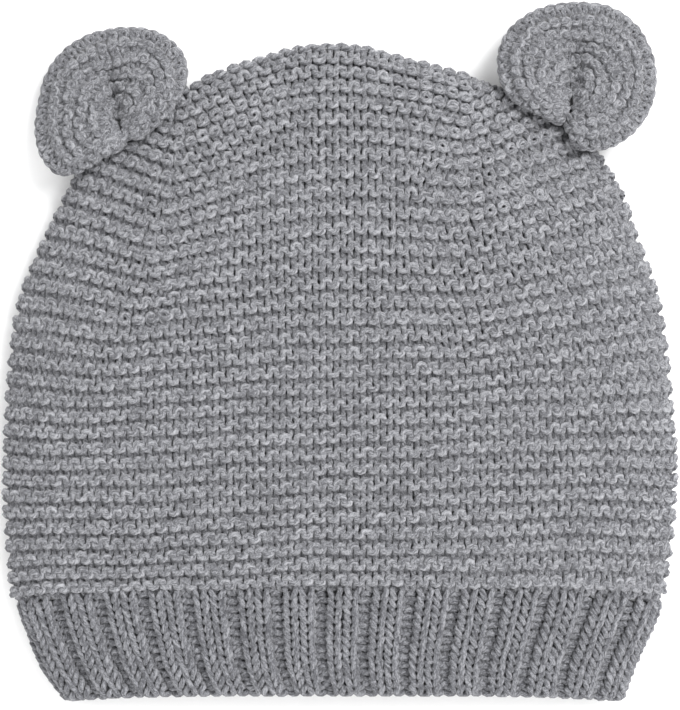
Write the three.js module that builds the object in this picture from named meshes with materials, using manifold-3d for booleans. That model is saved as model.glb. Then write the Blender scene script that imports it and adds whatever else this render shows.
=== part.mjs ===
// A knitted baby hat with two round bear ears. It lies on its back with its front face up, a little puffed,
// so that the hollow for the head stays open.
// Millimetres. X runs across the hat, Y from the hem of the brim to the top of the crown, and Z up from the
// surface that the hat lies on. The pieces are drawn with Y = 0 at the hem, and moved as one at the end.
import * as THREE from "three";
import { mergeVertices } from "three/addons/utils/BufferGeometryUtils.js";
import Module from "manifold-3d";

// Driving dimensions.
const CROWN_TOP = 191; // from the hem's lowest corner to the middle of the top seam
const BRIM_TOP = 33.4; // where the ribbed brim meets the crown, at the centre line
const BRIM_SAG = 5; // how much lower that line is at the sides
const HEM_RISE = 2.6; // how much higher the hem is at the centre line than at its corners
const GAP = 0.3; // left between neighbouring pieces
const WIDTH_PER_WALL = 1.1; // how far the inner surface is drawn in from the outline, in walls
const CROWN_WALL = 4; // one layer of garter stitch
const BRIM_WALL = 3.6; // one layer of rib
const RIB_GROOVE = 1.2; // how far the purl columns sink below the knit ones
const RIBS = 30; // round the whole brim, two knit columns and one purl column each
const FOLD_HEIGHT = 6; // height of the side folds and the top seam above the surface
const PUFF_FROM = 100; // the front face is highest here, and falls from here to the top seam
const BACK_ROUNDING = 16; // length over which the back leaves the surface at the top
const FLAT_SHARE = 0.8; // share of the half width over which the back lies flat
const EAR_FRONT = 8; // how far an ear's front swells from its middle sheet
const EAR_BACK = 3.6; // and its back
const CREASE_DEPTH = 6.2;
const CREASE_WIDTH = 3.8;
const CREASE_START = 0.55; // how deep the crease is at its upper end, against its foot
const NOTCH_WIDTH = 5; // degrees of rim to either side of a notch's middle
const EAR_CLEARANCE = 0.6; // between an ear's far rim and the surface that the hat lies on
const EAR_FAR_REACH = 22; // from an ear's hub to where it starts to rise towards the crown
const EAR_RISE_LENGTH = 40; // over which it rises
const EAR_RISE_POWER = 1.4;
const FRONT_FULLNESS = 2.6; // power of the front's section: 2 is a half ellipse, and more is squarer
const EAR_BACK_FULLNESS = 4;
const SAG_POWER = 4; // how late towards the sides a level line bends down
const SAG_FADE = 6; // how soon above the brim the levels run straight
const LEVEL_CROWDING = 1.7; // how much closer together the levels are at the top
const TIP_WALLS = 1.4; // thickness of the cloth at the top seam, in walls
const SPACE_GAPS = 1.4; // how far an ear is kept from the crown, in gaps

// The outline of crown and brim, seen from above: the middle and half the width of each level.
const OUTLINE = [
  { y: 0, centre: 1, half: 81 },
  { y: 12, centre: -1, half: 87.6 },
  { y: 33, centre: -0.5, half: 95.3 },
  { y: 66, centre: 0, half: 97.9 },
  { y: 92, centre: -0.3, half: 96.7 },
  { y: 116, centre: -0.2, half: 93.6 },
  { y: 137, centre: 0.5, half: 85.9 },
  { y: 150, centre: 1.3, half: 80.3 },
  { y: 162, centre: 1.3, half: 72.5 },
  { y: 172, centre: 0.8, half: 60.5 },
  { y: 181, centre: -0.5, half: 40.5 },
  { y: 188, centre: -3.5, half: 18.5 },
  { y: CROWN_TOP, centre: -2, half: 0 },
];

// The height of the front face along the centre line, up to PUFF_FROM.
const PUFF = [
  { y: 0, top: 19 },
  { y: 33, top: 22 },
  { y: 66, top: 26 },
  { y: PUFF_FROM, top: 27.5 },
];

// Each ear: its hub, the two ends of its crease, the direction from its far rim to the crown, and how much
// higher it lies there. Its rim is a smooth closed curve through a few distances from the hub, with a notch
// where the crease runs out between the two lobes.
const EARS = [
  {
    name: "ear_left",
    hub: [-65.5, 176],
    creaseTop: [-66.7, 182],
    creaseFoot: [-62.2, 164.5],
    towardsCrown: [0.55, -0.835],
    lift: 12.5,
    notch: { deg: 289, depth: 3.2 },
    rim: [
      { deg: 30, reach: 23.8 },
      { deg: 100, reach: 19.6 },
      { deg: 180, reach: 21.8 },
      { deg: 235, reach: 28.6 },
      { deg: 263, reach: 19 },
      { deg: 300, reach: 16.2 },
      { deg: 330, reach: 17.2 },
    ],
  },
  {
    name: "ear_right",
    hub: [67.3, 179.2],
    creaseTop: [68.4, 189],
    creaseFoot: [66, 170.4],
    towardsCrown: [-0.55, -0.835],
    lift: 11.5,
    notch: { deg: 261, depth: 5.4 },
    rim: [
      { deg: 50, reach: 26 },
      { deg: 95, reach: 24.3 },
      { deg: 140, reach: 24.6 },
      { deg: 185, reach: 21 },
      { deg: 225, reach: 14.5 },
      { deg: 254, reach: 13.6 },
      { deg: 274, reach: 20 },
      { deg: 320, reach: 22.8 },
    ],
  },
];

// Where sewing on an ear draws the crown's two layers together.
const PINCHES = [
  { x: -64, y: 164 },
  { x: 64, y: 168 },
];
const PINCH_SHARE = 0.45;
const PINCH_REACH = 16;

// Facets.
const CROWN_AROUND = 60;
const CROWN_LEVELS = 20;
const CROWN_INNER_LEVELS = 12;
const BRIM_LEVELS = 4;
const EAR_AROUND = 40;
const EAR_FRONT_RINGS = [0.985, 0.93, 0.8, 0.6, 0.38, 0.17];
const EAR_BACK_RINGS = [0.96, 0.8, 0.4];

const WOOL_GREY = { color: 0x8b8c90, roughness: 0.95, metalness: 0 };
const RIB_GREY = { color: 0x828387, roughness: 0.95, metalness: 0 };

// The value at x of a smooth curve through rows of [x, value] that doesn't swing past them.
function smoothThrough(points, x) {
  const last = points.length - 1;
  if (x <= points[0][0]) return points[0][1];
  if (x >= points[last][0]) return points[last][1];
  const steep = (i) => (points[i + 1][1] - points[i][1]) / (points[i + 1][0] - points[i][0]);
  const slope = (i) => {
    if (i === 0) return steep(0);
    if (i === last) return steep(last - 1);
    const before = steep(i - 1);
    const after = steep(i);
    return before * after <= 0 ? 0 : (2 * before * after) / (before + after);
  };
  let i = 0;
  while (x > points[i + 1][0]) i++;
  const [x0, v0] = points[i];
  const [x1, v1] = points[i + 1];
  const span = x1 - x0;
  const t = (x - x0) / span;
  const rise = t * t * (3 - 2 * t);
  const lean = t * (1 - t) * span * ((1 - t) * slope(i) - t * slope(i + 1));
  return v0 + rise * (v1 - v0) + lean;
}

const CENTRES = OUTLINE.map((row) => [row.y, row.centre]);
const HALF_SQUARES = OUTLINE.map((row) => [row.y, row.half ** 2]);
const centreAt = (y) => smoothThrough(CENTRES, y);
// Through the squares, because the outline closes at the top as a round curve does.
const halfAt = (y) => Math.sqrt(Math.max(smoothThrough(HALF_SQUARES, y), 0));

// 1 in the middle and 0 at the edge, where it falls steeply, as a section through something puffed.
const dome = (share, power) => Math.sqrt(Math.max(1 - Math.abs(share) ** power, 0));

function topAt(y) {
  if (y <= PUFF_FROM) return smoothThrough(PUFF.map((row) => [row.y, row.top]), y);
  const highest = PUFF[PUFF.length - 1].top;
  const share = (y - PUFF_FROM) / (CROWN_TOP - PUFF_FROM);
  return FOLD_HEIGHT + (highest - FOLD_HEIGHT) * dome(share, FRONT_FULLNESS);
}

function pinchAt(x, y) {
  const near = PINCHES.map((p) => Math.exp(-((x - p.x) ** 2 + (y - p.y) ** 2) / (2 * PINCH_REACH ** 2)));
  return 1 - PINCH_SHARE * Math.max(...near);
}

// How far across the back is lifted to the fold: 1 where it lies flat, 0 at the fold itself.
function backSpread(share, y) {
  const side = dome(Math.max(Math.abs(share) - FLAT_SHARE, 0) / (1 - FLAT_SHARE), 2);
  return side * dome(Math.max(y - (CROWN_TOP - BACK_ROUNDING), 0) / BACK_ROUNDING, 2);
}

// One point of the hat's surface. turn runs from 0 at the right fold over the front to 0.5 at the left fold
// and back underneath. wall is 0 for the outer surface, or how far the point lies below it.
function surfacePoint(level, sag, turn, wall) {
  const share = Math.cos(2 * Math.PI * turn);
  const half = halfAt(level - sag);
  const drawnIn = share * (1 - (WIDTH_PER_WALL * wall) / half);
  const x = centreAt(level - sag) + half * drawnIn;
  const y = level - sag * Math.abs(drawnIn) ** SAG_POWER;
  const front = (topAt(y) - wall - FOLD_HEIGHT) * dome(share, FRONT_FULLNESS) * pinchAt(x, y);
  const back = -(FOLD_HEIGHT - wall) * backSpread(share, y);
  return new THREE.Vector3(x, y, FOLD_HEIGHT + (turn < 0.5 ? Math.max(front, 0) : back));
}

function levelRing(level, sag, wall, turns) {
  return turns.map((turn) => surfacePoint(level, sag, turn, wall));
}

// A closed mesh through rings of points in order. A ring of one point is a tip. With wrap, the last ring is
// joined to the first.
function loft(rings, wrap) {
  const positions = rings.flat().flatMap((p) => [p.x, p.y, p.z]);
  const starts = [];
  let total = 0;
  for (const ring of rings) {
    starts.push(total);
    total += ring.length;
  }
  const index = [];
  const joins = wrap ? rings.length : rings.length - 1;
  for (let r = 0; r < joins; r++) {
    const next = (r + 1) % rings.length;
    const around = Math.max(rings[r].length, rings[next].length);
    for (let i = 0; i < around; i++) {
      const at = (ring, k) => starts[ring] + (rings[ring].length === 1 ? 0 : k % around);
      const [a, b, c, d] = [at(r, i), at(r, i + 1), at(next, i + 1), at(next, i)];
      if (a !== b) index.push(a, b, c);
      if (c !== d) index.push(a, c, d);
    }
  }
  const geometry = new THREE.BufferGeometry();
  geometry.setAttribute("position", new THREE.Float32BufferAttribute(positions, 3));
  geometry.setIndex(index);
  return geometry;
}

function facingOut(geometry) {
  const p = geometry.getAttribute("position");
  const { array } = geometry.index;
  const corner = (k) => new THREE.Vector3().fromBufferAttribute(p, array[k]);
  let volume = 0;
  for (let k = 0; k < array.length; k += 3) volume += corner(k).dot(corner(k + 1).cross(corner(k + 2)));
  if (volume < 0) for (let k = 0; k < array.length; k += 3) [array[k], array[k + 1]] = [array[k + 1], array[k]];
  geometry.computeVertexNormals();
  return geometry;
}

const evenTurns = (count) => Array.from({ length: count }, (_, i) => i / count);

// Levels from the crown's lower edge to its tip, closer together as the outline turns in.
function crownLevels(count) {
  const foot = BRIM_TOP + GAP;
  return Array.from({ length: count }, (_, k) => {
    const up = 1 - (1 - k / count) ** LEVEL_CROWDING;
    return { level: foot + up * (CROWN_TOP - foot), sag: BRIM_SAG * (1 - up) ** SAG_FADE };
  });
}

const CROWN_TURNS = evenTurns(CROWN_AROUND);
const OUTER_TIP = new THREE.Vector3(centreAt(CROWN_TOP), CROWN_TOP, FOLD_HEIGHT);

// The inner surface is the outer one drawn in, and its tip lies a wall's thickness below the outer tip.
function innerCrownRing({ level, sag }) {
  const foot = BRIM_TOP + GAP;
  const shrink = (CROWN_TOP - TIP_WALLS * CROWN_WALL - foot) / (CROWN_TOP - foot);
  return levelRing(level, sag, CROWN_WALL, CROWN_TURNS).map((p) => {
    p.y = foot + (p.y - foot) * (p.y > foot ? shrink : 1);
    return p;
  });
}

function crown() {
  const outer = crownLevels(CROWN_LEVELS).map((at) => levelRing(at.level, at.sag, 0, CROWN_TURNS));
  const inner = crownLevels(CROWN_INNER_LEVELS).map(innerCrownRing);
  const innerTip = OUTER_TIP.clone().setY(CROWN_TOP - TIP_WALLS * CROWN_WALL);
  return facingOut(loft([[OUTER_TIP], ...outer.reverse(), ...inner, [innerTip]], false));
}

// Turns that follow the ribs: two knit columns stand proud, then one purl column sinks in.
function ribTurns(ring) {
  const closed = [...ring, ring[0]];
  const lengths = [0];
  for (let i = 1; i < closed.length; i++) lengths.push(lengths[i - 1] + closed[i].distanceTo(closed[i - 1]));
  const total = lengths[lengths.length - 1];
  const turnAt = lengths.map((length, i) => [length / total, i / ring.length]);
  const corners = [
    { at: 0.06, sunk: 0 },
    { at: 0.62, sunk: 0 },
    { at: 0.74, sunk: 1 },
    { at: 0.94, sunk: 1 },
  ];
  return Array.from({ length: RIBS }, (_, rib) =>
    corners.map((c) => ({ turn: smoothThrough(turnAt, (rib + c.at) / RIBS), sunk: c.sunk })),
  ).flat();
}

function brim() {
  const levels = Array.from({ length: BRIM_LEVELS + 1 }, (_, k) => {
    const up = k / BRIM_LEVELS;
    const sag = HEM_RISE + (BRIM_SAG - HEM_RISE) * up;
    return { level: HEM_RISE + (BRIM_TOP - HEM_RISE) * up, sag };
  });
  const turns = ribTurns(levelRing(levels[BRIM_LEVELS].level, BRIM_SAG, 0, evenTurns(600)));
  const outer = levels.map(({ level, sag }) =>
    turns.map(({ turn, sunk }) => surfacePoint(level, sag, turn, sunk * RIB_GROOVE)),
  );
  const inner = [levels[BRIM_LEVELS], levels[0]].map(({ level, sag }) =>
    turns.map(({ turn }) => surfacePoint(level, sag, turn, BRIM_WALL)),
  );
  return facingOut(loft([...outer, ...inner], true));
}

// The rim's distance from the hub at an angle: the smooth closed curve through the ear's rows, less its notch.
function rimReach({ rim, notch }, deg) {
  const turned = (by) => rim.map((row) => [row.deg + by, row.reach]);
  const smooth = smoothThrough([...turned(-360), ...turned(0), ...turned(360)], deg);
  return smooth - notch.depth * Math.exp(-(((deg - notch.deg) / NOTCH_WIDTH) ** 2));
}

// 1 on the crease line and 0 away from it, fading towards the crease's upper end.
function creaseAt(ear, x, y) {
  const top = new THREE.Vector2(...ear.creaseTop);
  const line = new THREE.Vector2(...ear.creaseFoot).sub(top);
  const from = new THREE.Vector2(x, y).sub(top);
  const along = THREE.MathUtils.clamp(from.dot(line) / line.lengthSq(), 0, 1);
  const away = from.addScaledVector(line, -along).length();
  return (CREASE_START + (1 - CREASE_START) * along) * Math.exp(-((away / CREASE_WIDTH) ** 2));
}

// The sheet half way between an ear's two faces: near the surface at the far rim, higher on the crown.
function earMiddle(ear, x, y) {
  const [ax, ay] = ear.towardsCrown;
  const reach = (x - ear.hub[0]) * ax + (y - ear.hub[1]) * ay;
  const share = THREE.MathUtils.clamp((reach + EAR_FAR_REACH) / EAR_RISE_LENGTH, 0, 1);
  return EAR_BACK + EAR_CLEARANCE + ear.lift * share ** EAR_RISE_POWER;
}

function ear(spec) {
  const ring = (rho, front) =>
    Array.from({ length: EAR_AROUND }, (_, i) => {
      const deg = (spec.notch.deg + (360 * i) / EAR_AROUND) % 360;
      const reach = rho * rimReach(spec, deg);
      const x = spec.hub[0] + reach * Math.cos((deg * Math.PI) / 180);
      const y = spec.hub[1] + reach * Math.sin((deg * Math.PI) / 180);
      const swell = front
        ? dome(rho, FRONT_FULLNESS) * (EAR_FRONT - CREASE_DEPTH * creaseAt(spec, x, y))
        : -EAR_BACK * dome(rho, EAR_BACK_FULLNESS);
      return new THREE.Vector3(x, y, earMiddle(spec, x, y) + swell);
    });
  const hub = (front) => [ring(0, front)[0]];
  const frontRings = [...EAR_FRONT_RINGS].reverse().map((rho) => ring(rho, true));
  const backRings = EAR_BACK_RINGS.map((rho) => ring(rho, false));
  return facingOut(loft([hub(true), ...frontRings, ring(1, true), ...backRings, hub(false)], false));
}

// The crown filled in and grown by the gap, which an ear is cut clear of.
function crownSpace() {
  const grow = -SPACE_GAPS * GAP;
  const rings = crownLevels(CROWN_LEVELS).map((at) => levelRing(at.level, at.sag, grow, CROWN_TURNS));
  const tip = OUTER_TIP.clone().setY(CROWN_TOP - grow);
  const foot = new THREE.Vector3(0, BRIM_TOP, FOLD_HEIGHT);
  return facingOut(loft([[tip], ...rings.reverse(), [foot]], false));
}

const wasm = await Module();
wasm.setup();

function solid(geometry) {
  const bare = geometry.clone();
  bare.deleteAttribute("normal");
  const merged = mergeVertices(bare, 1e-3);
  return new wasm.Manifold(
    new wasm.Mesh({
      numProp: 3,
      vertProperties: merged.getAttribute("position").array,
      triVerts: new Uint32Array(merged.index.array),
    }),
  );
}

function clearOf(geometry, space) {
  const mesh = solid(geometry).subtract(solid(space)).getMesh();
  const cut = new THREE.BufferGeometry();
  cut.setAttribute("position", new THREE.BufferAttribute(mesh.vertProperties, 3));
  cut.setIndex(new THREE.BufferAttribute(mesh.triVerts, 1));
  cut.computeVertexNormals();
  return cut;
}

function piece(name, geometry, look) {
  const mesh = new THREE.Mesh(geometry, new THREE.MeshStandardMaterial(look));
  mesh.name = name;
  return mesh;
}

const hat = new THREE.Group();
hat.add(piece("crown", crown(), WOOL_GREY));
hat.add(piece("rib_brim", brim(), RIB_GREY));
for (const spec of EARS) hat.add(piece(spec.name, clearOf(ear(spec), crownSpace()), WOOL_GREY));

// The origin is under the middle of the whole hat, on the surface that it lies on.
const extent = new THREE.Box3().setFromObject(hat, true);
const middle = extent.getCenter(new THREE.Vector3());
hat.position.set(-middle.x, -middle.y, -extent.min.z);

export default hat;
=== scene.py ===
"""A grey marl baby hat with two bear ears, knitted loop by loop over the frame.

Tables and sizes are in millimetres, in the hat's own frame: X across, Y up from the hem, Z up from the
surface that the hat lies on. place() turns them into metres in the row frame.
"""

import math

import bpy
import numpy as np
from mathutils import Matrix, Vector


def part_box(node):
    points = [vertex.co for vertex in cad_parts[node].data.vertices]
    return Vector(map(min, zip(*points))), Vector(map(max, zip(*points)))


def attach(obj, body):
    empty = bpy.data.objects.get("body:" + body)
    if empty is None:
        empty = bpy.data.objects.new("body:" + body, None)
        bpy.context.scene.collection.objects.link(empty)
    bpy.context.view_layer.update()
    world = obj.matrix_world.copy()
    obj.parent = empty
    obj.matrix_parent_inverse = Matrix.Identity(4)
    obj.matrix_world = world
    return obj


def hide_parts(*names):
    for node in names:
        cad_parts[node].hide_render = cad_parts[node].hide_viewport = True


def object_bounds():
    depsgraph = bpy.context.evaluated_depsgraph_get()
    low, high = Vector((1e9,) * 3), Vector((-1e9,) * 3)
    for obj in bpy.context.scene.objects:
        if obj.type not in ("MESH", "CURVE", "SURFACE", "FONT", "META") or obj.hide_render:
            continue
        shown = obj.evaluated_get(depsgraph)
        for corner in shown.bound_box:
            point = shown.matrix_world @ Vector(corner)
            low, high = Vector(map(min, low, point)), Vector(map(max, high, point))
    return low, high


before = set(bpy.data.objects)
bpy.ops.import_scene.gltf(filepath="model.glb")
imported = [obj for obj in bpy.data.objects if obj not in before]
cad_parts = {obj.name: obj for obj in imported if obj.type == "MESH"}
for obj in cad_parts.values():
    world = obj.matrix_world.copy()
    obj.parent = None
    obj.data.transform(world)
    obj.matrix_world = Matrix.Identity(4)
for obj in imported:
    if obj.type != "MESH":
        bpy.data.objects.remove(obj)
cad_low, cad_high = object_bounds()

MM = 0.001
MIDDLE_X = (cad_low.x + cad_high.x) / 2
HEM_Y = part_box("rib_brim")[0].y
rng = np.random.RandomState(11)

# ---------------------------------------------------------------- the hat's form

CROWN_TOP = 191.0
BRIM_TOP = 33.4
BRIM_SAG = 5.0
HEM_RISE = 2.6
FOLD_HEIGHT = 6.0
PUFF_FROM = 100.0
BACK_ROUNDING = 16.0
FLAT_SHARE = 0.8
WIDEST = 97.9
HALF_WALL = 2.0  # from the outer face of the cloth to its middle, where the loops are centred

# y, middle and half the width of each level
OUTLINE = [
    (0, 1, 81),
    (12, -1, 87.6),
    (33, -0.5, 95.3),
    (66, 0, 97.9),
    (92, -0.3, 96.7),
    (116, -0.2, 93.6),
    (137, 0.5, 85.9),
    (150, 1.3, 80.3),
    (162, 1.3, 72.5),
    (172, 0.8, 60.5),
    (181, -0.5, 40.5),
    (188, -3.5, 18.5),
    (191, -2, 0),
]
CENTRES = [(y, centre) for y, centre, half in OUTLINE]
HALF_SQUARES = [(y, half**2) for y, centre, half in OUTLINE]
PUFF = [(0, 19), (33, 22), (66, 26), (PUFF_FROM, 27.5)]
PINCHES = [(-64, 164), (64, 168)]
PINCH_SHARE = 0.45
PINCH_REACH = 16.0
FRONT_FULLNESS = 2.6  # power of a front's section: 2 is a half ellipse, and more is squarer
SAG_POWER = 4  # how late towards the sides a level line bends down

# How the rows of the crown run: by their height at the centre line, the two valleys' places, how far the rows
# drop from the centre line to each valley, how steeply they rise outside it, their tilt, and how much each
# end is lifted.
ROW_SHAPES = [
    # height, valley left and right, drop left and right, rise left and right, tilt, lift left and right
    (33, -67, 32, 0, 0, 0, 0, 0, -5, -5),
    (46, -67, 32, 0, 0, 0, 0, 0.03, -1.5, -4),
    (60, -67, 32, 0, 0, 0, 0, 0.042, 0.8, -3),
    (80, -67, 32, 0.4, 0, 0.02, 0.02, 0.042, 1.2, -1.6),
    (100, -64, 32, 3.2, 0.6, 0.13, 0.13, 0.02, 0, 0),
    (124, -56, 32, 6.2, 1.2, 0.23, 0.24, 0, 0, 0),
    (148, -50.5, 37.5, 9.6, 1.8, 0.36, 0.37, 0, 0, 0),
    (168, -46.5, 36.5, 12, 4.2, 0.44, 0.5, 0, 0, 0),
    (191, -46, 38, 14, 10, 0.5, 0.6, 0, 0, 0),
]
ROW_SHAPE_CURVES = [[(row[0], row[k]) for row in ROW_SHAPES] for k in range(1, len(ROW_SHAPES[0]))]
VALLEY_ROUNDING = 3.0
ARCH_POWER = 1.8
LIFT_POWER = 4
SEAM_SHARE = 0.75  # how fast rows near the top draw away from the seam, against their height
SEAM_RISE = 2.0  # how fast the seam stops holding the rows down outside the valleys
SEAM_ROUNDING = 0.8
SEAM_MIDDLE = 20.0  # half width of the middle stretch, where the rounding is kept from lowering the rows

# Each ear: its hub, the two ends of its crease, the way from its far rim to the crown, and how much higher it
# lies there. Its rim is a smooth closed curve through a few distances from the hub, by angle, with a notch of
# one angle and depth where the crease runs out between the two lobes.
EARS = {
    "ear_left": {
        "hub": (-65.5, 176),
        "crease_top": (-66.7, 182),
        "crease_foot": (-62.2, 164.5),
        "towards_crown": (0.55, -0.835),
        "lift": 12.5,
        "notch": (289, 3.2),
        "rim": [(30, 23.8), (100, 19.6), (180, 21.8), (235, 28.6), (263, 19), (300, 16.2), (330, 17.2)],
    },
    "ear_right": {
        "hub": (67.3, 179.2),
        "crease_top": (68.4, 189),
        "crease_foot": (66.0, 170.4),
        "towards_crown": (-0.55, -0.835),
        "lift": 11.5,
        "notch": (261, 5.4),
        "rim": [
            (50, 26), (95, 24.3), (140, 24.6), (185, 21), (225, 14.5), (254, 13.6), (274, 20), (320, 22.8),
        ],
    },
}
NOTCH_WIDTH = 5.0  # degrees of rim to either side of a notch's middle
EAR_FRONT = 8.0
EAR_BACK = 3.6
EAR_BACK_FULLNESS = 4
EAR_BACK_INSET = 0.6  # share of the inset by which the back is drawn in
EAR_LEAST = 0.3  # the least that is left of the front at the bottom of the crease
EAR_CLEARANCE = 0.6  # between an ear's far rim and the surface that the hat lies on
EAR_FAR_REACH = 22  # from an ear's hub to where it starts to rise towards the crown
EAR_RISE_LENGTH = 40
EAR_RISE_POWER = 1.4
CREASE_DEPTH = 7.0
CREASE_WIDTH = 4.2
CREASE_START = 0.85  # how deep it is at its upper end, against its foot
CREASE_SHARPNESS = 1.2  # 1 meets in a sharp line, and 2 is a round hollow

# ---------------------------------------------------------------- the yarn and its stitches

YARN_RADIUS = 0.9
STITCH_WIDTH = 4.0
LOOP_HEIGHT = 0.95  # half the height of a loop, in row spacings
LOOP_NECK = 0.18  # how far a loop narrows at its foot, in stitch widths
LOOP_DEPTH = 1.35  # how far heads and feet stand before and behind the middle of the cloth
HALF_STITCHES = 26.5  # from the centre line to a side fold, over the puffed front and below the lobes
ROW_SPACINGS = [(33, 2.26), (60, 2.3), (90, 2.36), (120, 2.5), (148, 2.68), (170, 2.5), (191, 2.3)]

SEAM_ROOM = 0.12  # between the last row and the top seam
VALLEY_STITCHES = 6  # to either side of a valley, that take up what is left over there

TUBE_SIDES = 6
THICKNESS_STEP = 5  # rings of a tube from one random thickness to the next
THICKNESS_SPREAD = 0.06
YARN_SKIP = 7.3  # millimetres of yarn left out between one row and the next, so that rows don't match
STRIP_EDGE = 0.08  # margins of a strip in the map for baking, in strips and in lengths
STRIP_END = 0.004
FRONT_STEPS = 12  # points on the yarn for each stitch
BACK_STEPS = 6
BRIM_BACK_STEPS = 8
PATH_SAMPLES = 260


def smooth_through(rows, x):
    """The value at x of a smooth curve through rows of (x, value) that doesn't swing past them."""
    xs, values = np.array(rows, float).T
    steep = np.diff(values) / np.diff(xs)
    slope = np.zeros(len(xs))
    slope[0], slope[-1] = steep[0], steep[-1]
    before, after = steep[:-1], steep[1:]
    same = before * after > 0
    slope[1:-1][same] = 2 * before[same] * after[same] / (before[same] + after[same])
    i = np.clip(np.searchsorted(xs, x, side="right") - 1, 0, len(xs) - 2)
    span = xs[i + 1] - xs[i]
    t = np.clip((x - xs[i]) / span, 0, 1)
    rise = t * t * (3 - 2 * t)
    lean = t * (1 - t) * span * ((1 - t) * slope[i] - t * slope[i + 1])
    return values[i] + rise * (values[i + 1] - values[i]) + lean


def unit(vectors):
    return vectors / np.maximum(np.linalg.norm(vectors, axis=-1, keepdims=True), 1e-9)


def place(points):
    """Millimetres in the hat's frame to metres in the row frame."""
    return points * MM + np.array((MIDDLE_X, HEM_Y, 0.0))


class Face:
    """One face of a puffed thing: a middle sheet, and the square of the face's height over it."""

    def __init__(self, middle, square, side):
        self.middle, self.square, self.side = middle, square, side

    def points(self, x, y):
        z = self.middle(x, y) + self.side * np.sqrt(np.maximum(self.square(x, y), 0))
        return np.stack((x, y, z), -1)

    def normals(self, x, y):
        step = 0.05
        over = self.side * np.sqrt(np.maximum(self.square(x, y), 0))

        def slope(value, dx, dy):
            return (value(x + dx, y + dy) - value(x - dx, y - dy)) / (2 * step)

        across = -slope(self.square, step, 0) - 2 * over * slope(self.middle, step, 0)
        along = -slope(self.square, 0, step) - 2 * over * slope(self.middle, 0, step)
        return unit(np.stack((across, along, 2 * over), -1))


def outline_at(y, inset):
    """Middle and half width of the outline drawn in by inset. Outside the top the half width is 0."""
    outer = y * CROWN_TOP / (CROWN_TOP - inset)
    half = np.sqrt(np.maximum(smooth_through(HALF_SQUARES, outer), 0)) * (1 - inset / WIDEST)
    return smooth_through(CENTRES, outer), half


def pinch_at(x, y):
    near = [np.exp(-((x - px) ** 2 + (y - py) ** 2) / (2 * PINCH_REACH**2)) for px, py in PINCHES]
    return 1 - PINCH_SHARE * np.maximum(*near)


def hat_face(side, inset):
    """The hat's front (side 1) or back (side -1), below its outer surface by inset."""

    def share(x, y):
        centre, half = outline_at(y, inset)
        return np.abs(x - centre) / np.maximum(half, 0.05)

    def front_square(x, y):
        outer = y * CROWN_TOP / (CROWN_TOP - inset)
        high = smooth_through(PUFF, np.minimum(outer, PUFF_FROM)) - FOLD_HEIGHT - inset
        past = np.maximum(outer - PUFF_FROM, 0) / (CROWN_TOP - PUFF_FROM)
        section = (1 - past**FRONT_FULLNESS) * (1 - share(x, y) ** FRONT_FULLNESS)
        return (high * pinch_at(x, y)) ** 2 * section

    def back_square(x, y):
        outer = y * CROWN_TOP / (CROWN_TOP - inset)
        beside = np.maximum(share(x, y) - FLAT_SHARE, 0) / (1 - FLAT_SHARE)
        past = np.maximum(outer - (CROWN_TOP - BACK_ROUNDING), 0) / BACK_ROUNDING
        return (FOLD_HEIGHT - inset) ** 2 * (1 - beside**2) * (1 - past**2)

    return Face(lambda x, y: FOLD_HEIGHT + 0 * x, front_square if side > 0 else back_square, side)


# ---------------------------------------------------------------- rows of the crown


def top_of_outline(x, inset):
    """The height of the outline's upper arc over x."""
    ys = np.linspace(150, CROWN_TOP - inset, 160)
    centre, half = outline_at(ys, inset)
    right = np.interp(x, (centre + half)[::-1], ys[::-1])
    left = np.interp(x, centre - half, ys)
    tip_x = OUTLINE[-1][1]
    return np.where(x > tip_x, right, left)


def row_shape(v):
    """The columns of ROW_SHAPES after the first, for the row at height v."""
    return [smooth_through(curve, v) for curve in ROW_SHAPE_CURVES]


def crown_row_height(v, x):
    """Y of the row that crosses the centre line at height v."""
    left_valley, right_valley, *rest = row_shape(v)
    left_drop, right_drop, left_rise, right_rise, tilt, left_lift, right_lift = rest
    valley = np.where(x < 0, -left_valley, right_valley)
    drop = np.where(x < 0, left_drop, right_drop)
    rise = np.where(x < 0, left_rise, right_rise)
    lift = np.where(x < 0, left_lift, right_lift)
    away = np.abs(x)
    arch = -drop * np.minimum(away / valley, 1) ** ARCH_POWER
    outside = rise * VALLEY_ROUNDING * np.logaddexp(0, (away - valley) / VALLEY_ROUNDING)
    # Two slight waves, long and short, keep the rows from being ruled.
    wave = 0.3 * np.sin(x / 13 + v / 19) + 0.22 * np.sin(x / 5.7 - v / 11 + 1)
    y = v + arch + outside + tilt * x + lift * (away / WIDEST) ** LIFT_POWER + wave
    # Close to the top the rows nest under the top seam, as far as the valleys.
    inner = np.minimum(away, valley) * np.sign(x)
    seam = top_of_outline(inner, HALF_WALL) - SEAM_SHARE * (CROWN_TOP - HALF_WALL - v)
    seam += SEAM_RISE * np.maximum(away - valley, 0)
    lower = -np.logaddexp(-y / SEAM_ROUNDING, -seam / SEAM_ROUNDING) * SEAM_ROUNDING
    return lower + SEAM_ROUNDING * np.log(2) * np.exp(-(x**2) / (2 * SEAM_MIDDLE**2))


def crown_row_ends(v):
    """Where the row at height v meets the two side folds."""
    ends = []
    for way in (-1, 1):
        x = way * np.linspace(0, 110, 2201)
        y = crown_row_height(v, x)
        centre, half = outline_at(y, HALF_WALL)
        out = np.nonzero((np.abs(x - centre) > half) | (y > CROWN_TOP - HALF_WALL))[0]
        ends.append(x[max(out[0] - 1, 1)])
    return ends


def crown_curve(v, t):
    left, right = crown_row_ends(v)
    x = (left + right) / 2 - (right - left) / 2 * np.cos(math.pi * t)
    return x, crown_row_height(v, x)


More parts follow.
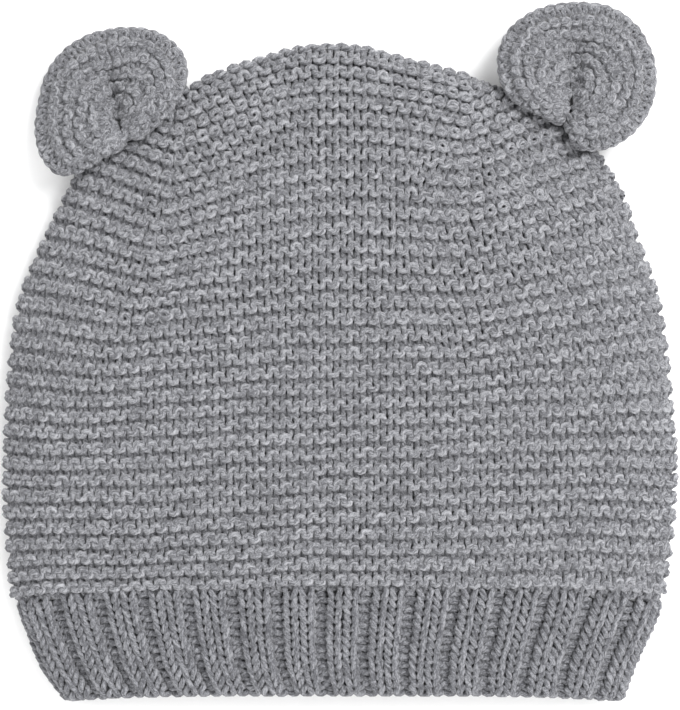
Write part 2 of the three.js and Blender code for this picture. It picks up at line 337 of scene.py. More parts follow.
def brim_curve(v, t):
    """A row of the brim: its height runs from 0 at the hem to 1 at the crown."""
    level = HEM_RISE + v * (BRIM_TOP - HEM_RISE)
    sag = HEM_RISE + v * (BRIM_SAG - HEM_RISE)
    share = -np.cos(math.pi * t)
    y = level - sag * share**SAG_POWER
    centre, half = outline_at(level - sag, HALF_WALL)
    return centre + half * share, y


# ---------------------------------------------------------------- knitting


class Path:
    """A row's line on a face: its points, the face's normals, the way to the next row and how far it is."""

    def __init__(self, face, curve, v, dv, t, least_and_most=(1.7, 3.1)):
        x, y = curve(v, t)
        self.points = face.points(x, y)
        self.normals = face.normals(x, y)
        tangent = unit(np.gradient(self.points, axis=0))
        self.up = unit(np.cross(self.normals, tangent))
        near = face.points(*curve(v - 0.2 * dv, t))
        self.spacing = 5 * np.abs(np.sum((near - self.points) * self.up, -1))
        self.spacing = np.clip(self.spacing, *least_and_most)
        steps = np.linalg.norm(np.diff(self.points, axis=0), axis=1)
        self.arc = np.concatenate(([0], np.cumsum(steps)))
        self.x = x

    def reversed(self):
        """The same row, run the other way. Its up still points to the next row."""
        other = object.__new__(Path)
        other.points, other.normals = self.points[::-1], self.normals[::-1]
        other.up, other.spacing, other.x = self.up[::-1], self.spacing[::-1], self.x[::-1]
        other.arc = self.arc[-1] - self.arc[::-1]
        return other

    def at(self, arc, values):
        if values.ndim == 1:
            return np.interp(arc, self.arc, values)
        return np.stack([np.interp(arc, self.arc, values[:, k]) for k in range(values.shape[1])], -1)


def loop_line(
    path, arc_of_stitch, first, last, steps, own, above, jitter,
    columns=None, tall=1.0, neck=LOOP_NECK, depth=LOOP_DEPTH,
):
    """The yarn's middle line through stitches first to last of one row, and the face's normals along it.

    arc_of_stitch turns a stitch number into a length along the path, and steps is how many points a stitch
    gets. own and above are 1 where this row and the next are knit, and -1 where they are purl. columns, where
    given, says the same for each column of a rib, and then own and above don't matter.
    """
    count = int(round((last - first) * steps)) + 1
    s = np.linspace(first, last, count)
    head = np.round(s).astype(int)
    toward_foot = np.abs(s - head)
    if columns is None:
        head_z, foot_z = -above * depth + 0 * s, -own * depth + 0 * s
        leg_z = (own + above) / 2 * depth + 0 * s
    else:
        here, beside = columns(head), columns(head + np.where(s >= head, 1, -1))
        head_z, leg_z = -here * depth, here * depth
        foot_z = -(here + beside) / 2 * depth
    ends = (head_z + foot_z) / 2
    z = (ends + leg_z) / 2 + (head_z - foot_z) / 2 * np.cos(2 * math.pi * toward_foot)
    z += (ends - leg_z) / 2 * np.cos(4 * math.pi * toward_foot)
    if columns is not None:
        weight = 0.5 - 0.5 * np.cos(2 * math.pi * toward_foot)
        z += (1 - weight / 2) * rib_relief(here) + weight / 2 * rib_relief(beside)
    # Each stitch is a little larger, higher or further to one side than its neighbours.
    stitch = head - int(math.floor(first))
    wide, high, aside, deep = (jitter[stitch % len(jitter), k] for k in range(4))
    soft = 0.5 + 0.5 * np.cos(2 * math.pi * toward_foot)
    arc = arc_of_stitch(s + neck * (1 + wide * soft) * np.sin(4 * math.pi * s) + aside * soft)
    spacing = path.at(arc, path.spacing)
    height = spacing * LOOP_HEIGHT * tall * (np.cos(2 * math.pi * s) + high * soft)
    normals = unit(path.at(arc, path.normals))
    line = path.at(arc, path.points) + path.at(arc, path.up) * height[:, None]
    line += normals * (z + deep * soft)[:, None]
    return line, normals


JITTER_STITCHES = 64  # before a row's unevenness starts over
JITTER = (0.2, 0.12, 0.045, 0.2)  # how much stitches differ in neck, height, place along the row and depth


def stitch_jitter(amount=1.0):
    return rng.normal(0, 1, (JITTER_STITCHES, len(JITTER))) * (np.array(JITTER) * amount)


class Yarn:
    """Tubes of yarn gathered into one mesh, with a map of each tube's length and girth for the material, and
    one with each tube laid out in strips for baking."""

    def __init__(self):
        self.lines = []

    def add(self, line, normals, radius=YARN_RADIUS):
        self.lines.append((line, normals, radius))

    def build(self, name, material, slot):
        sides = TUBE_SIDES
        strips = 2 * len(self.lines)
        vertices, faces, lay, bake = [], [], [], []
        start = 0
        run = rng.uniform(0, 50)
        for index, (line, normals, radius) in enumerate(self.lines):
            tangent = unit(np.gradient(line, axis=0))
            across = unit(np.cross(normals, tangent))
            over = np.cross(tangent, across)
            turn = 2 * math.pi * np.arange(sides) / sides
            ring = np.sin(turn)[None, :, None] * across[:, None] - np.cos(turn)[None, :, None] * over[:, None]
            rings = len(line)
            knots = np.arange(0, rings + THICKNESS_STEP, THICKNESS_STEP)
            thickness = np.interp(np.arange(rings), knots, rng.normal(0, 1, len(knots)))
            radii = radius * (1 + THICKNESS_SPREAD * np.clip(thickness, -1.6, 1.6))
            vertices.append((line[:, None] + ring * radii[:, None, None]).reshape(-1, 3))
            i, j = np.meshgrid(np.arange(rings - 1), np.arange(sides), indexing="ij")
            i, j = i.ravel(), j.ravel()
            beside = (j + 1) % sides
            here, ahead = start + i * sides, start + (i + 1) * sides
            faces.append(np.stack((here + j, ahead + j, ahead + beside, here + beside), -1))
            start += rings * sides
            lengths = np.concatenate(([0], np.cumsum(np.linalg.norm(np.diff(line, axis=0), axis=1))))
            us = np.stack((i, i + 1, i + 1, i), -1)
            vs = np.stack((j, j, j + 1, j + 1), -1)
            lay.append(np.stack((run + lengths[us], vs / sides), -1))
            run += lengths[-1] + YARN_SKIP
            # The bake's strips: the first half of the tube in one strip, and the second in the next.
            half = (rings - 1) / 2
            second = (i >= half).astype(float)[:, None]
            along = (us - second * math.ceil(half)) / math.ceil(half)
            strip = (2 * index + second + STRIP_EDGE + (1 - 2 * STRIP_EDGE) * vs / sides) / strips
            bake.append(np.stack((STRIP_END + (1 - 2 * STRIP_END) * along, strip), -1))
        vertices = place(np.concatenate(vertices))
        mesh = mesh_of(name, vertices, np.concatenate(faces))
        add_map(mesh, "Yarn", np.concatenate(lay))
        add_map(mesh, "OFBake", np.concatenate(bake))
        return add_piece(name, mesh, material)


def mesh_of(name, vertices, quads):
    mesh = bpy.data.meshes.new(name)
    mesh.vertices.add(len(vertices))
    mesh.vertices.foreach_set("co", vertices.astype(np.float32).ravel())
    mesh.loops.add(quads.size)
    mesh.loops.foreach_set("vertex_index", quads.astype(np.int32).ravel())
    mesh.polygons.add(len(quads))
    mesh.polygons.foreach_set("loop_start", np.arange(0, quads.size, 4, dtype=np.int32))
    mesh.update(calc_edges=True)
    mesh.validate()
    mesh.polygons.foreach_set("use_smooth", np.ones(len(mesh.polygons), bool))
    return mesh


def add_map(mesh, name, corners):
    layer = mesh.uv_layers.new(name=name)
    layer.data.foreach_set("uv", corners.reshape(-1, 2).astype(np.float32).ravel())


def add_piece(name, mesh, material):
    piece = bpy.data.objects.new(name, mesh)
    bpy.context.scene.collection.objects.link(piece)
    mesh.materials.append(material)
    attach(piece, "root")
    return piece


# ---------------------------------------------------------------- materials


class Nodes:
    """A new material with a Principled shader, and short ways to add nodes to it."""

    def __init__(self, name):
        self.material = bpy.data.materials.new(name)
        self.material.use_nodes = True
        self.tree = self.material.node_tree
        self.shader = self.tree.nodes["Principled BSDF"]

    def new(self, kind, inputs=None, **settings):
        node = self.tree.nodes.new("ShaderNode" + kind)
        for key, value in settings.items():
            setattr(node, key, value)
        for key, value in (inputs or {}).items():
            if hasattr(value, "links"):
                self.tree.links.new(value, node.inputs[key])
            else:
                node.inputs[key].default_value = value
        return node

    def maths(self, operation, a, b=0.0):
        return self.new("Math", {0: a, 1: b}, operation=operation).outputs[0]

    def link(self, output, name):
        self.tree.links.new(output, self.shader.inputs[name])


TWIST_LENGTH = 9.0  # millimetres of yarn in which its fibres wind round once


def yarn_material(name, dark, middle, light):
    """Grey marl yarn of three plies. dark, middle and light are the linear colours of its fibres."""
    nodes = Nodes(name)
    lay = nodes.new("UVMap", uv_map="Yarn").outputs[0]
    along, girth, _ = nodes.new("SeparateXYZ", {0: lay}).outputs
    turns = nodes.maths("ADD", girth, nodes.maths("DIVIDE", along, TWIST_LENGTH))
    angle = nodes.maths("MULTIPLY", turns, 2 * math.pi)
    round_x = nodes.maths("COSINE", angle)
    round_y = nodes.maths("SINE", angle)

    def fibres(stretch, scale, detail, roughness=0.6):
        stretched = nodes.maths("MULTIPLY", along, stretch)
        at = nodes.new("CombineXYZ", {0: stretched, 1: round_x, 2: round_y}).outputs[0]
        noise = {"Vector": at, "Scale": scale, "Detail": detail, "Roughness": roughness}
        return nodes.new("TexNoise", noise).outputs[0]

    fine = fibres(0.6, 3.4, 3.0, 0.7)
    drift = fibres(0.16, 0.9, 1.0)
    mixed = nodes.maths("ADD", fine, nodes.maths("MULTIPLY", nodes.maths("SUBTRACT", drift, 0.5), 0.45))
    ramp = nodes.new("ValToRGB", {0: mixed})
    elements = ramp.color_ramp.elements
    elements[0].position, elements[1].position = 0.39, 0.63
    elements[0].color, elements[1].color = (*dark, 1), (*light, 1)
    elements.new(0.5).color = (*middle, 1)
    nodes.link(ramp.outputs[0], "Base Color")
    ply = nodes.maths("ABSOLUTE", nodes.maths("SINE", nodes.maths("MULTIPLY", angle, 1.5)))
    hair = fibres(0.5, 3.6, 2.0)
    height = nodes.maths("ADD", nodes.maths("MULTIPLY", ply, 0.5), nodes.maths("MULTIPLY", hair, 1.6))
    bumped = nodes.new("Bump", {"Strength": 0.8, "Distance": 0.4 * MM, "Height": height})
    nodes.link(bumped.outputs[0], "Normal")
    nodes.shader.inputs["Roughness"].default_value = 0.92
    nodes.shader.inputs["Specular IOR Level"].default_value = 0.25
    nodes.shader.inputs["Sheen Weight"].default_value = 0.2
    nodes.shader.inputs["Sheen Roughness"].default_value = 0.5
    return nodes.material


def ground_material(name, grey):
    """A sheet in the middle of the cloth, seen between the loops: its dark grey is painted shade for the gaps
    between them.
    """
    nodes = Nodes(name)
    where = nodes.new("TexCoord").outputs["Object"]
    fleck = nodes.new("TexNoise", {"Vector": where, "Scale": 900.0, "Detail": 3.0}).outputs[0]
    ramp = nodes.new("ValToRGB", {0: fleck})
    ramp.color_ramp.elements[0].position = 0.3
    ramp.color_ramp.elements[1].position = 0.75
    ramp.color_ramp.elements[0].color = (0.5 * grey, 0.5 * grey, 0.52 * grey, 1)
    ramp.color_ramp.elements[1].color = (1.5 * grey, 1.5 * grey, 1.55 * grey, 1)
    nodes.link(ramp.outputs[0], "Base Color")
    bumped = nodes.new("Bump", {"Strength": 0.6, "Distance": 0.5 * MM, "Height": fleck})
    nodes.link(bumped.outputs[0], "Normal")
    nodes.shader.inputs["Roughness"].default_value = 0.95
    return nodes.material


MARL = yarn_material("grey_marl_yarn", (0.095, 0.0962, 0.106), (0.214, 0.2167, 0.2335), (0.412, 0.416, 0.44))
RIB_MARL = yarn_material(
    "grey_marl_yarn_rib", (0.072, 0.0731, 0.0815), (0.16, 0.1623, 0.1775), (0.33, 0.334, 0.356)
)
# A little darker than the crown's: painted shade for the folds of the ears.
EAR_MARL_PAINTED_SHADE = yarn_material(
    "grey_marl_yarn_ear_painted_shade", (0.082, 0.083, 0.0915), (0.184, 0.1864, 0.2015), (0.368, 0.3716, 0.394)
)
# Painted shade: the sheet between the loops is darker than the yarn, standing in for the shade in the gaps.
GROUND_PAINTED_SHADE = ground_material("cloth_ground_painted_shade", 0.1)

# ---------------------------------------------------------------- camera, first of all

VIEW_HEIGHT = 205.9  # millimetres that the picture's height takes in, at the height of the side folds
VIEW_CENTRE_Y = 100.9
LENS = 135.0
SENSOR = 36.0
camera_data = bpy.data.cameras.new("camera")
camera_data.lens = LENS
camera_data.sensor_width = SENSOR
camera = bpy.data.objects.new("camera", camera_data)
bpy.context.scene.collection.objects.link(camera)
distance = VIEW_HEIGHT * LENS / SENSOR
camera.location = place(np.array((0.0, VIEW_CENTRE_Y, FOLD_HEIGHT + distance)))
camera_data.clip_start = 0.01
bpy.context.scene.camera = camera
bpy.context.scene.view_settings.view_transform = "Standard"

# ---------------------------------------------------------------- the crown


FIRST_CROWN_ROW = 1.9  # above the top of the brim


def row_heights():
    """Heights at which the rows cross the centre line.

    They are spaced along the cloth, so they come closer together at the top, where it is steep.
    """
    seam = CROWN_TOP - HALF_WALL
    front = hat_face(1, HALF_WALL)

    def height_over(y):
        return front.points(np.zeros(1), np.array([y]))[0, 2]

    heights = [BRIM_TOP + FIRST_CROWN_ROW]
    while heights[-1] < seam - SEAM_ROOM:
        v = heights[-1]
        step = float(smooth_through(ROW_SPACINGS, v))
        fall = height_over(v) - height_over(min(v + 0.5 * step, seam))
        step /= math.hypot(1, fall / (0.5 * step))
        heights.append(v + step)
    return [v for v in heights if v < seam - SEAM_ROOM]


LOOSE_FROM = 95.0  # above this height the stitches go from even shares to their own width
LOOSE_OVER = 30.0
TOP_ROW_HEIGHT = 0.4  # of a loop in the top row, against the others


def half_spread(length, valley, v):
    """How the stitches of half a row are spread: pairs of stitch number and arc length from the centre line.

    Near the centre line and near the fold they keep the same width from row to row, so that they stand in
    columns. Where the row crosses a valley, the stitches there take up what is left over.
    """
    straight = length / HALF_STITCHES
    loosen = np.clip((v - LOOSE_FROM) / LOOSE_OVER, 0, 1)
    width = straight + (STITCH_WIDTH - straight) * loosen
    count = max(round(length / width - 0.5) + 0.5, 1.5)
    turn = round(valley / width)
    near, far = turn - VALLEY_STITCHES, turn + VALLEY_STITCHES
    if near < 1 or far > count - 1 or loosen == 0:
        return [(0, 0), (count, length)]
    return [(0, 0), (near, near * width), (far, length - (count - far) * width), (count, length)]


def crown_row(v, dv, front_face, back_face):
    """Front and back paths of one row, its stitch numbers, and where each stitch comes on either path."""
    t = np.linspace(0, 1, PATH_SAMPLES)
    front = Path(front_face, crown_curve, v, dv, t)
    back = Path(back_face, crown_curve, v, dv, t)
    left_valley, right_valley = row_shape(v)[:2]

    def arc_at(path, x):
        return float(np.interp(x, path.x, path.arc))

    middle = arc_at(front, 0)
    left = half_spread(middle, middle - arc_at(front, left_valley), v)
    right = half_spread(front.arc[-1] - middle, arc_at(front, right_valley) - middle, v)
    numbers = [-n for n, _ in reversed(left)] + [n for n, _ in right[1:]]
    arcs = [middle - a for _, a in reversed(left)] + [middle + a for _, a in right[1:]]
    back_middle = arc_at(back, 0)
    back_arcs = []
    for arc in arcs:
        share = (arc - middle) / (middle if arc < middle else front.arc[-1] - middle)
        back_arcs.append(back_middle + share * (back_middle if share < 0 else back.arc[-1] - back_middle))
    return front, back, numbers, arcs, back_arcs


def knit_crown():
    front_face, back_face = hat_face(1, HALF_WALL), hat_face(-1, HALF_WALL)
    heights = row_heights()
    fronts, backs = [Yarn() for _ in range(3)], [Yarn() for _ in range(2)]
    for k, v in enumerate(heights):
        dv = float(smooth_through(ROW_SPACINGS, v))
        front, back, numbers, arcs, back_arcs = crown_row(v, dv, front_face, back_face)
        own, above = (-1, 1) if k % 2 else (1, -1)
        first, last = numbers[0], numbers[-1]
        tall = TOP_ROW_HEIGHT if k == len(heights) - 1 else 1
        line, normals = loop_line(
            front, lambda s: np.interp(s, numbers, arcs),
            first, last, FRONT_STEPS, own, above, stitch_jitter(), tall=tall,
        )
        fronts[k * 3 // len(heights)].add(line, normals)
        # The back is the same row, run on round from the right fold to the left one.
        behind = back.reversed()
        ends = [behind.arc[-1] - a for a in reversed(back_arcs)]
        behind_numbers = [-n for n in reversed(numbers)]
        line, normals = loop_line(
            behind, lambda s: np.interp(s, behind_numbers, ends),
            -last, -first, BACK_STEPS, own, above, stitch_jitter(), tall=tall,
        )
        backs[k * 2 // len(heights)].add(line, normals)
    pieces = [yarn.build(f"crown_front_rows_{n + 1}", MARL, "knit") for n, yarn in enumerate(fronts)]
    pieces += [yarn.build(f"crown_back_rows_{n + 1}", MARL, "knit") for n, yarn in enumerate(backs)]
    return pieces


GROUND_AROUND = 96
GROUND_THICKNESS = 0.5
LEVEL_CROWDING = 1.7  # how much closer together the levels of the crown are at the top
SAG_FADE = 6  # how soon above the brim the levels run straight
TIP_OPENING = 0.02


def shell(name, inset, bottom, top, material, levels):
    """A thin closed tube in the middle of the cloth, from one (level, sag) to another.

    Where top is None, it is a bag that runs up to the crown's tip instead.
    """
    turns = np.arange(GROUND_AROUND) / GROUND_AROUND * 2 * math.pi
    foot, foot_sag = bottom

    def ring(level, sag, depth):
        share = np.cos(turns)
        centre, half = outline_at(np.array(level - sag), depth)
        x, y = centre + half * share, level - sag * np.abs(share) ** SAG_POWER
        front = hat_face(1, depth).points(x, y)
        back = hat_face(-1, depth).points(x, y)
        return np.where((np.sin(turns) >= 0)[:, None], front, back)

    def tube_ring(k, depth):
        up = k / levels
        return ring(foot + up * (top[0] - foot), foot_sag + (top[1] - foot_sag) * up, depth)

    def bag_ring(k, depth):
        tip = CROWN_TOP - depth
        up = 1 - (1 - k / levels) ** LEVEL_CROWDING
        level = min(foot + up * (tip - foot), tip - TIP_OPENING)
        return ring(level, foot_sag * (1 - up) ** SAG_FADE, depth)

    one_ring = bag_ring if top is None else tube_ring
    outer = [one_ring(k, inset) for k in range(levels + 1)]
    inner = [one_ring(k, inset + GROUND_THICKNESS) for k in range(levels + 1)]
    rings = outer + inner[::-1]
    quads = []
    for r in range(len(rings)):
        if top is None and r == levels:
            continue  # the two layers of a bag each end at their own tip
        here, ahead = r * GROUND_AROUND, (r + 1) % len(rings) * GROUND_AROUND
        for i in range(GROUND_AROUND):
            j = (i + 1) % GROUND_AROUND
            quads.append((here + i, here + j, ahead + j, ahead + i))
    mesh = mesh_of(name, place(np.concatenate(rings)), np.array(quads))
    return add_piece(name, mesh, material)


# ---------------------------------------------------------------- the brim

RIB_COLUMNS = (1, 1, -1)  # two knit columns, then a purl one
RIB_WIDTHS = (1.12, 1.12, 0.76)  # in even stitches
BRIM_HALF = 22.5  # stitches from the centre line to a side fold
BRIM_REACH = 48  # stitches to either side for which places are worked out
BRIM_ROWS = 13
FIRST_BRIM_ROW = 1.25  # rows from the hem to the middle of the first one
BRIM_ROOM = BRIM_ROWS + 0.4  # rows from the hem to the crown
RIB_DEEP = -2.1  # how the purl columns lie to the middle of the cloth, and the knit ones
RIB_PROUD = 0.2
RIB_NECK = 0.225
HEM_ROW_HEIGHT = 0.7


def rib_column(number):
    """1 for a knit column and -1 for a purl one."""
    return np.array(RIB_COLUMNS)[number % len(RIB_COLUMNS)]


def rib_relief(kind):
    return np.where(kind > 0, RIB_PROUD, RIB_DEEP)


def rib_place(s):
    """Stitch number to place along the row, in even stitches: purl columns are drawn in narrower."""
    numbers = np.arange(-BRIM_REACH, BRIM_REACH + 1)
    edges = numbers - 0.5
    widths = np.array(RIB_WIDTHS)[numbers % len(RIB_WIDTHS)]
    places = edges[0] + np.concatenate(([0], np.cumsum(widths)))[:-1]
    return np.interp(s, edges, places)


def knit_brim():
    front_face, back_face = hat_face(1, HALF_WALL), hat_face(-1, HALF_WALL)
    yarn_front, yarn_back = Yarn(), Yarn()
    t = np.linspace(0, 1, PATH_SAMPLES)
    for k in range(BRIM_ROWS):
        v = (k + FIRST_BRIM_ROW) / BRIM_ROOM
        sides = ((yarn_front, front_face, FRONT_STEPS), (yarn_back, back_face, BRIM_BACK_STEPS))
        for yarn, face, steps in sides:
            path = Path(face, brim_curve, v, 1 / BRIM_ROWS, t)
            if face is back_face:
                path = path.reversed()
            total = path.arc[-1]
            low, high = rib_place(-BRIM_HALF), rib_place(BRIM_HALF)
            line, normals = loop_line(
                path,
                lambda s: (rib_place(s) - low) / (high - low) * total,
                -BRIM_HALF,
                BRIM_HALF,
                steps,
                1,
                1,
                stitch_jitter(0.8),
                columns=rib_column,
                tall=HEM_ROW_HEIGHT if k == 0 else 1,
                neck=RIB_NECK,
            )
            yarn.add(line, normals)
    return [
        yarn_front.build("brim_front_rows", RIB_MARL, "rib"),
        yarn_back.build("brim_back_rows", RIB_MARL, "rib"),
    ]


# ---------------------------------------------------------------- the ears


def ear_rim(ear, deg, inset):
    """The distance from an ear's hub to its rim at an angle, drawn in by inset."""
    rows = [(d + turn, reach) for turn in (-360, 0, 360) for d, reach in ear["rim"]]
    notch_deg, notch_depth = ear["notch"]
    notch = notch_depth * np.exp(-(((deg - notch_deg) / NOTCH_WIDTH) ** 2))
    return smooth_through(rows, deg) - notch - inset


def ear_face(ear, side, inset):
    """An ear's front (side 1) or back (side -1), below its outer surface by inset."""
    hub, top, foot = (np.array(ear[key], float) for key in ("hub", "crease_top", "crease_foot"))
    toward = np.array(ear["towards_crown"])
    line = foot - top

    def crease(x, y):
        from_top = np.stack((x, y), -1) - top
        along = np.clip(from_top @ line / (line @ line), 0, 1)
        away = np.linalg.norm(from_top - along[..., None] * line, axis=-1)
        deep = CREASE_START + (1 - CREASE_START) * along
        return deep * np.exp(-((away / CREASE_WIDTH) ** CREASE_SHARPNESS))

    def middle(x, y):
        reach = (x - hub[0]) * toward[0] + (y - hub[1]) * toward[1]
        share = np.clip((reach + EAR_FAR_REACH) / EAR_RISE_LENGTH, 0, 1)
        return EAR_BACK + EAR_CLEARANCE + ear["lift"] * share**EAR_RISE_POWER

    def square(x, y):
        deg = np.degrees(np.arctan2(y - hub[1], x - hub[0])) % 360
        rho = np.hypot(x - hub[0], y - hub[1]) / ear_rim(ear, deg, inset)
        if side > 0:
            high = np.maximum(EAR_FRONT - inset - CREASE_DEPTH * crease(x, y), EAR_LEAST)
            return (1 - rho**FRONT_FULLNESS) * high**2
        return (1 - rho**EAR_BACK_FULLNESS) * (EAR_BACK - inset * EAR_BACK_INSET) ** 2

    return Face(middle, square, side)


EAR_INSET = 1.7
EAR_EDGE = 1.5  # the first row lies this much further in, so that its loops end at the rim
EAR_ROW = 2.0
EAR_ROWS = 16
EAR_LOOP_DEPTH = 0.95
EAR_WAVE = 0.45  # how far the rows of an ear wander
EAR_WAVE_TURN = 23  # radians of that wave in one row, and from one millimetre further in to the next
EAR_WAVE_SHIFT = 0.4
ARCH_SHARE = 0.3  # how far up the crease the rows of an ear close in
ARCH_END = 0.98  # how near to there they come
BEYOND = 1e6  # a distance from the rim past every row
EAR_ROW_ROOM = 0.9  # what is left past a row's middle where the row ends
RIM_SAMPLES = 721
LEAST_SAMPLES = 40  # a shorter row isn't knitted
LEAST_STITCHES = 4
EAR_SPACINGS = (1.2, 2.6)  # least and most between two rows
RIM_ROW_HEIGHT = 0.5
CHAIN_ENDS = 0.012  # share of the rim that is left free at either end of the chain
CHAIN_INSET = 0.15
CHAIN_STEPS = 8
CHAIN_SWING = 0.45
CHAIN_OUTWARD = 0.5
EAR_STITCH = 3.3
EAR_YARN = 0.88


def ear_curve(ear):
    """Rows at one distance after another from the rim, arching over the crease from lobe to lobe."""
    hub, top, foot = (np.array(ear[key], float) for key in ("hub", "crease_top", "crease_foot"))

    def curve(d, t):
        deg = (ear["notch"][0] + 360 * t) % 360
        rim = ear_rim(ear, deg, EAR_INSET)
        turn = np.radians(deg)
        edge = hub + rim[:, None] * np.stack((np.cos(turn), np.sin(turn)), -1)
        up = ARCH_SHARE * (1 - np.abs(2 * t - 1))
        end = foot + (top - foot) * up[:, None]
        way = end - edge
        room = np.linalg.norm(way, axis=1)
        wander = EAR_WAVE * np.sin(EAR_WAVE_TURN * t + EAR_WAVE_SHIFT * d) * np.clip(d / EAR_ROW, 0, 1)
        points = edge + way / room[:, None] * np.minimum(d + wander, room * ARCH_END)[:, None]
        return points[:, 0], points[:, 1]

    def room(t):
        x0, y0 = curve(0.0, t)
        x1, y1 = curve(BEYOND, t)
        return np.hypot(x1 - x0, y1 - y0)

    return curve, room


def add_edge_chain(yarn, curve, face):
    """The chain along an ear's rim: two strands that cross once a stitch."""
    t = np.linspace(CHAIN_ENDS, 1 - CHAIN_ENDS, PATH_SAMPLES)
    path = Path(face, curve, CHAIN_INSET, EAR_ROW, t)
    outward = path.points - face.points(*curve(EAR_ROW, t))
    outward = unit(outward * (1, 1, 0))
    count = round(path.arc[-1] / EAR_STITCH)
    s = np.linspace(0, count, count * CHAIN_STEPS + 1)
    arc = s / count * path.arc[-1]
    for phase in (0, math.pi):
        swing = CHAIN_SWING * np.cos(math.pi * s + phase)
        rise = CHAIN_SWING * np.sin(2 * math.pi * s + phase)
        line = path.at(arc, path.points) + path.at(arc, outward) * (swing + CHAIN_OUTWARD)[:, None]
        line[:, 2] += rise
        yarn.add(line, np.tile((0.0, 0.0, 1.0), (len(line), 1)), EAR_YARN)


def knit_ear(name):
    ear = EARS[name]
    curve, room = ear_curve(ear)
    yarns = []
    for side, steps in ((1, FRONT_STEPS), (-1, BACK_STEPS)):
        face = ear_face(ear, side, EAR_INSET)
        yarn = Yarn()
        if side > 0:
            add_edge_chain(yarn, curve, face)
        for k in range(EAR_ROWS):
            d = EAR_EDGE + k * EAR_ROW
            t = np.linspace(0, 1, RIM_SAMPLES)
            inside = np.nonzero(room(t) > d + EAR_ROW_ROOM)[0]
            if len(inside) < LEAST_SAMPLES:
                break
            t = np.linspace(t[inside[0]], t[inside[-1]], PATH_SAMPLES)
            path = Path(face, curve, d, EAR_ROW, t)
            # The heads of the loops point at the rim.
            outward = face.points(*curve(max(d - EAR_ROW, -1), t)) - path.points
            if np.sum(outward * path.up) < 0:
                path = path.reversed()
                path.up = -path.up
            path.spacing = np.clip(path.spacing, *EAR_SPACINGS)
            count = max(round(path.arc[-1] / EAR_STITCH), LEAST_STITCHES)
            own, above = (1, -1) if k % 2 == 0 else (-1, 1)
            line, normals = loop_line(
                path,
                lambda s: np.clip(s / count * path.arc[-1], 0, path.arc[-1]),
                0,
                count,
                steps,
                own,
                above,
                stitch_jitter(0.7),
                tall=RIM_ROW_HEIGHT if k == 0 else 1,
                depth=EAR_LOOP_DEPTH,
            )
            yarn.add(line, normals, EAR_YARN)
        yarns.append(yarn)
    for yarn, which in zip(yarns, ("front", "back")):
        yarn.build(f"{name}_{which}_rows", EAR_MARL_PAINTED_SHADE, "knit")


# The rings of an ear's inside, as shares of the way from its hub to its rim.
EAR_FRONT_RINGS = (0.0, 0.15, 0.35, 0.55, 0.72, 0.86, 0.95, 1.0)
EAR_BACK_RINGS = (0.93, 0.75, 0.45, 0.15, 0.0)
EAR_GROUND_AROUND = 72


def ear_ground(name):
    """The ear's inside, between its two faces."""
    ear = EARS[name]
    hub = np.array(ear["hub"], float)
    inset = EAR_INSET - 0.2
    deg = np.arange(EAR_GROUND_AROUND) * 360 / EAR_GROUND_AROUND
    turn = np.radians(deg)
    rings = []
    for side, shares in ((1, EAR_FRONT_RINGS), (-1, EAR_BACK_RINGS)):
        face = ear_face(ear, side, inset)
        for share in shares:
            reach = ear_rim(ear, deg, inset) * np.clip(share, 0.004, 0.999)
            rings.append(face.points(hub[0] + reach * np.cos(turn), hub[1] + reach * np.sin(turn)))
    quads = []
    for r in range(len(rings) - 1):
        here, ahead = r * EAR_GROUND_AROUND, (r + 1) * EAR_GROUND_AROUND
        for i in range(EAR_GROUND_AROUND):
            j = (i + 1) % EAR_GROUND_AROUND
            quads.append((here + i, ahead + i, ahead + j, here + j))
    mesh = mesh_of(f"{name}_ground", place(np.concatenate(rings)), np.array(quads))
    return add_piece(f"{name}_ground", mesh, GROUND_PAINTED_SHADE)


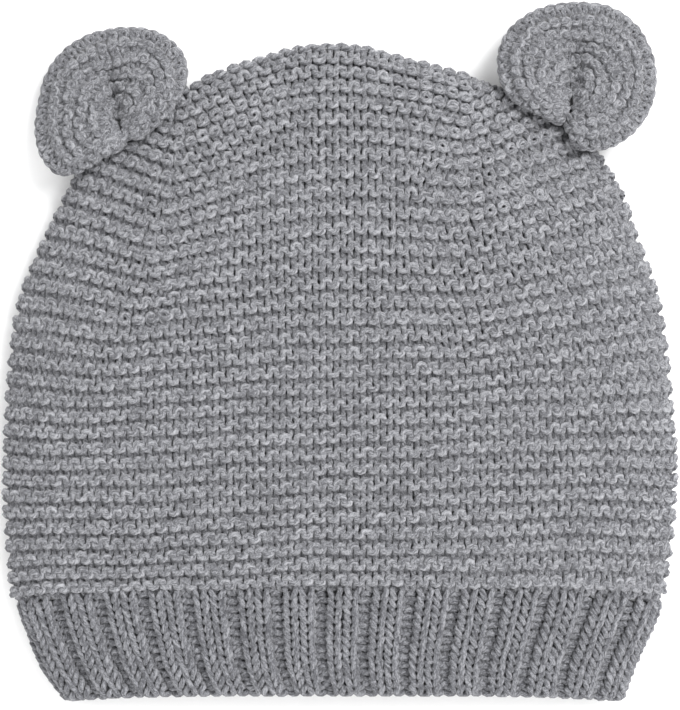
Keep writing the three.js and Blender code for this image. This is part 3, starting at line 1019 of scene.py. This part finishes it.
crown_rows = knit_crown()
brim_rows = knit_brim()
for ear_name in EARS:
    knit_ear(ear_name)
crown_foot = (BRIM_TOP + 0.3, BRIM_SAG)
brim_foot = (HEM_RISE + 1.2, HEM_RISE)
brim_head = (BRIM_TOP, BRIM_SAG)
crown_ground = shell("crown_ground", HALF_WALL + 1.0, crown_foot, None, GROUND_PAINTED_SHADE, 40)
brim_ground = shell("brim_ground", HALF_WALL + 2.0, brim_foot, brim_head, GROUND_PAINTED_SHADE, 8)
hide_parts("crown")
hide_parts("rib_brim")
for ear_name in EARS:
    inside = ear_ground(ear_name)
    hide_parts(ear_name)

# ---------------------------------------------------------------- floor and light

SPREAD = 3.0
FLOOR_HEIGHT = -0.0006
FLOOR_CORNERS = [(-SPREAD, -SPREAD, 0), (SPREAD, -SPREAD, 0), (SPREAD, SPREAD, 0), (-SPREAD, SPREAD, 0)]
floor_mesh = bpy.data.meshes.new("floor")
floor_mesh.from_pydata(FLOOR_CORNERS, [], [(0, 1, 2, 3)])
floor = bpy.data.objects.new("floor", floor_mesh)
bpy.context.scene.collection.objects.link(floor)
floor.location.z = FLOOR_HEIGHT
paper = Nodes("pale_floor")
paper.shader.inputs["Base Color"].default_value = (0.96, 0.96, 0.96, 1)
paper.shader.inputs["Roughness"].default_value = 0.9
floor_mesh.materials.append(paper.material)


def area_light(name, at, aim, size, watts):
    """A square lamp at one place, turned to another. Both are in metres."""
    data = bpy.data.lights.new(name, "AREA")
    data.shape = "SQUARE"
    data.size = size
    data.energy = watts
    light = bpy.data.objects.new(name, data)
    bpy.context.scene.collection.objects.link(light)
    light.location = at
    way = np.array(aim) - np.array(at)
    tip = math.atan2(math.hypot(way[0], way[1]), -way[2])
    light.rotation_euler = (tip, 0, math.atan2(-way[0], way[1]))


middle_of_hat = place(np.array((0.0, 100.0, 10.0)))
area_light("key", (1.0, 0.8, 1.7), middle_of_hat, 1.0, 42)
area_light("fill", (0.2, -1.3, 1.5), middle_of_hat, 1.8, 18)
world = bpy.data.worlds.new("studio")
world.use_nodes = True
world.node_tree.nodes["Background"].inputs[0].default_value = (1, 1, 1, 1)
world.node_tree.nodes["Background"].inputs[1].default_value = 1.0
bpy.context.scene.world = world
